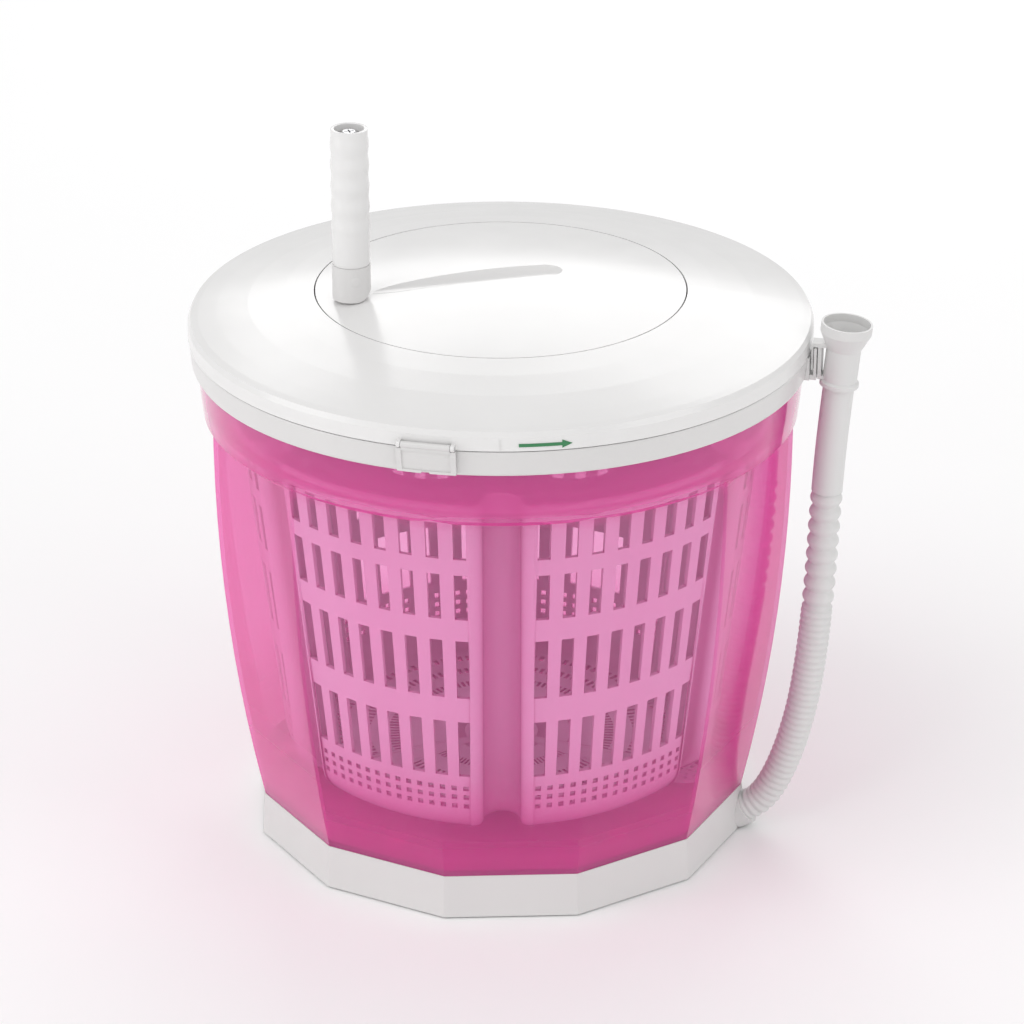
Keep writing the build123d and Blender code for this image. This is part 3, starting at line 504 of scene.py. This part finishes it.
def moulded(name, colour, roughness, grain=GRAIN_SCALE, grain_depth=GRAIN_DEPTH, soft=0.0,
            sheen=0.4):
    """Moulded plastic: faint flow marks, a fine skin texture, and duller handled patches."""
    n = Nodes(name)
    flow = n.noise(FLOW_SCALE, 4.0, FLOW_STRETCH)
    speck = n.noise(grain, 2.0)
    scuffs = n.noise(SCUFF_SCALE, 5.0, SCUFF_STRETCH)
    tint = n.blend(n.spread(flow, 0.0, 1.0), shade(colour, 0.97), shade(colour, 1.0))
    rough = n.spread(scuffs, roughness - 0.02, roughness + 0.03)
    normal = n.bump(speck, grain_depth, 0.5)
    normal = n.bump(flow, FLOW_DEPTH, 0.06, normal)
    surface = n.add("ShaderNodeBsdfPrincipled", {
        "Base Color": tint, "Roughness": rough, "Normal": normal, "IOR": PLASTIC_IOR,
        "Coat Weight": sheen * 0.25, "Coat Roughness": COAT_ROUGHNESS,
        "Subsurface Weight": soft, "Subsurface Radius": (0.004, 0.004, 0.0035),
        "Subsurface Scale": 0.4})
    return n.finish(surface.outputs[0])


def basket_white(name):
    """White basket plastic that passes some light, with painted pink shade in its hollows: darker
    pink where ambient occlusion finds it closed in.
    """
    n = Nodes(name)
    flow = n.noise(FLOW_SCALE, 4.0, FLOW_STRETCH)
    scuffs = n.noise(SCUFF_SCALE, 5.0, SCUFF_STRETCH)
    # Painted shade: flutes, creases and slot edges are blended towards a darker pink by an ambient
    # occlusion mask.
    unshaded_share = n.add("ShaderNodeAmbientOcclusion", {"Distance": HOLLOW_SHADE_REACH}, samples=8,
                       only_local=True).outputs["AO"]
    white = n.blend(n.spread(flow, 0.0, 1.0), *BASKET_WHITES)
    tint = n.blend(n.spread(unshaded_share, 0.0, 1.0, 0.35, 0.90), HOLLOW_SHADE_PINK, white)
    normal = n.bump(n.noise(GRAIN_SCALE, 2.0), GRAIN_DEPTH, 0.5)
    normal = n.bump(flow, FLOW_DEPTH, 0.06, normal)
    surface = n.add("ShaderNodeBsdfPrincipled", {
        "Base Color": tint, "Roughness": n.spread(scuffs, 0.22, 0.27), "Normal": normal,
        "IOR": PLASTIC_IOR, "Coat Weight": 0.2, "Coat Roughness": COAT_ROUGHNESS}).outputs[0]
    through = n.add("ShaderNodeBsdfTranslucent", {"Color": tint, "Normal": normal}).outputs[0]
    mixed = n.add("ShaderNodeMixShader", {0: BASKET_GLOW_SHARE, 1: surface, 2: through})
    return n.finish(mixed.outputs[0])


def clear_tinted(name):
    """Clear tinted plastic: deeper where seen edge-on, milkier at the rim and the floor."""
    n = Nodes(name)
    ripple = n.noise(14.0, 2.0)
    skin = n.noise(900.0, 2.0)
    normal = n.bump(ripple, 0.0012, 0.12)
    normal = n.bump(skin, 0.00003, 0.2, normal)
    edge = n.add("ShaderNodeLayerWeight", {"Blend": 0.35, "Normal": normal}).outputs["Facing"]
    deepen = n.spread(edge, 0.0, 1.0, 0.25, 0.95)
    tint = n.blend(deepen, TINT_FACING, TINT_EDGE_ON)
    through = n.add("ShaderNodeBsdfTransparent", {"Color": tint}).outputs[0]
    body = n.add("ShaderNodeBsdfPrincipled", {
        "Base Color": TUB_PINK, "Roughness": n.spread(skin, 0.10, 0.18),
        "Normal": normal, "IOR": PLASTIC_IOR}).outputs[0]
    glow = n.add("ShaderNodeBsdfTranslucent", {"Color": TUB_GLOW}).outputs[0]
    body = n.add("ShaderNodeMixShader", {0: TUB_GLOW_SHARE, 1: body, 2: glow}).outputs[0]
    height = n.add("ShaderNodeSeparateXYZ", {"Vector": n.place}).outputs["Z"]
    thick = n.math("ADD", n.spread(height, 0.0, MILKY_RIM, RIM_FROM_Z, RIM_FULL_Z),
                   n.spread(height, MILKY_FLOOR, 0.0, FLOOR_FULL_Z, FLOOR_END_Z))
    share = n.math("ADD", n.spread(edge, MILKY_FACING, MILKY_EDGE_ON), thick)
    milky = n.add("ShaderNodeMixShader", {0: share, 1: through, 2: body}).outputs[0]
    gloss = n.add("ShaderNodeBsdfGlossy", {"Color": (1.0, 1.0, 1.0, 1.0),
                                           "Roughness": n.spread(skin, 0.04, 0.09),
                                           "Normal": normal}).outputs[0]
    mirror = n.add("ShaderNodeFresnel", {"IOR": 1.45, "Normal": normal}).outputs[0]
    front = n.math("SUBTRACT", 1.0, n.add("ShaderNodeNewGeometry").outputs["Backfacing"])
    mirror = n.math("MULTIPLY", mirror, front)
    return n.finish(n.add("ShaderNodeMixShader", {0: mirror, 1: milky, 2: gloss}).outputs[0])


def steel(name):
    """Plain steel with upright brush marks and slightly darker patches."""
    n = Nodes(name)
    brushed = n.noise(2600.0, 3.0, (1.0, 1.0, 0.04))
    patches = n.noise(90.0, 3.0)
    tint = n.blend(n.spread(patches, 0.0, 1.0), (0.52, 0.52, 0.53, 1.0), (0.66, 0.66, 0.67, 1.0))
    surface = n.add("ShaderNodeBsdfPrincipled", {
        "Base Color": tint, "Metallic": 1.0, "Roughness": n.spread(brushed, 0.24, 0.40),
        "Normal": n.bump(brushed, 0.00002, 0.4)})
    return n.finish(surface.outputs[0])


def rubber(name):
    """Matt grey rubber with a fine grain and a little dust."""
    n = Nodes(name)
    grain = n.noise(3200.0, 3.0)
    dust = n.noise(130.0, 4.0)
    tint = n.blend(n.spread(dust, 0.0, 1.0), (0.30, 0.30, 0.305, 1.0), (0.38, 0.38, 0.38, 1.0))
    surface = n.add("ShaderNodeBsdfPrincipled", {
        "Base Color": tint, "Roughness": n.spread(dust, 0.62, 0.80),
        "Normal": n.bump(grain, 0.00008, 0.6)})
    return n.finish(surface.outputs[0])


MATERIALS = {
    "pink_clear": clear_tinted("clear_tinted_plastic"),
    "white_plastic": moulded("satin_white_plastic", (0.68, 0.67, 0.665), 0.30),
    "white_gloss": moulded("smooth_white_plastic", (0.76, 0.752, 0.748), 0.21, soft=0.03, sheen=0.8),
    "basket_plastic": basket_white("basket_white_plastic_painted_hollow_shade"),
    "hose_plastic": moulded("soft_white_plastic", (0.69, 0.685, 0.68), 0.44, 900.0, 0.00002, 0.06),
    "gear_plastic": moulded("natural_gear_plastic", (0.74, 0.71, 0.62), 0.48, 1800.0, 0.00002),
    "bearing_plastic": moulded("bearing_plastic", (0.62, 0.62, 0.58), 0.42, 1800.0),
    "green_print": moulded("green_raised_print", (0.030, 0.20, 0.075), 0.40, 2200.0, 0.00001),
    "steel": steel("plain_steel"),
    "grey_rubber": rubber("grey_rubber"),
}


def dress(obj, material):
    obj.data.materials.clear()
    obj.data.materials.append(material)


for piece, slot_name in ((hose, "hose_plastic"), (basket, "basket_plastic"), (grip, "white_gloss"),
                         (pin_caps, "white_plastic"), (tick, "white_plastic")):
    dress(piece, MATERIALS[slot_name])
for part in frame["record"]["subparts"]:
    node = frame["nodes"][part["node"]]
    for material_slot in node.material_slots:
        material_slot.material = MATERIALS[part["material_slot"]]


# ---------------------------------------------------------------- floor and light
FLOOR_SIZE = 14.0
WORLD_STRENGTH = 0.70
LIGHT_TARGET = Vector((0, 0, 0.2))
# Each light's name, place, size across and up, and power in watts.
LIGHTS = (
    ("key", (-1.1, -1.0, 2.6), (1.6, 1.6), 13.0),
    ("left", (-2.4, -0.7, 0.8), (1.6, 1.4), 13.0),
    ("front", (0.2, -2.6, 0.7), (2.4, 1.2), 6.5),
    ("fill", (1.9, -1.2, 1.2), (1.2, 1.8), 8.0),
    ("back", (0.4, 2.2, 1.6), (2.2, 1.2), 16.0),
)
floor_mesh = bpy.data.meshes.new("floor")
half = FLOOR_SIZE / 2
floor_mesh.from_pydata([(-half, -half, 0), (half, -half, 0), (half, half, 0), (-half, half, 0)],
                       [], [(0, 1, 2, 3)])
floor = add_object("floor", floor_mesh, smooth=False)
floor_nodes = Nodes("pale_floor")
floor_surface = floor_nodes.add("ShaderNodeBsdfPrincipled", {
    "Base Color": floor_nodes.blend(floor_nodes.noise(3.0), (0.93, 0.93, 0.93, 1.0),
                                    (0.95, 0.95, 0.95, 1.0)),
    "Roughness": 0.7, "Specular IOR Level": 0.2})
dress(floor, floor_nodes.finish(floor_surface.outputs[0]))

world = bpy.data.worlds.new("studio")
world.use_nodes = True
background = world.node_tree.nodes["Background"]
background.inputs["Color"].default_value = (1.0, 1.0, 1.0, 1.0)
background.inputs["Strength"].default_value = WORLD_STRENGTH
scene.world = world
scene.view_settings.view_transform = "Standard"


def soft_light(name, place, size, power):
    data = bpy.data.lights.new(name, "AREA")
    data.shape = "RECTANGLE"
    data.size, data.size_y = size
    data.energy = power
    light = bpy.data.objects.new(name, data)
    light.location = place
    light.rotation_mode = "QUATERNION"
    light.rotation_quaternion = (LIGHT_TARGET - Vector(place)).to_track_quat("-Z", "Y")
    scene.collection.objects.link(light)


for light_setting in LIGHTS:
    soft_light(*light_setting)
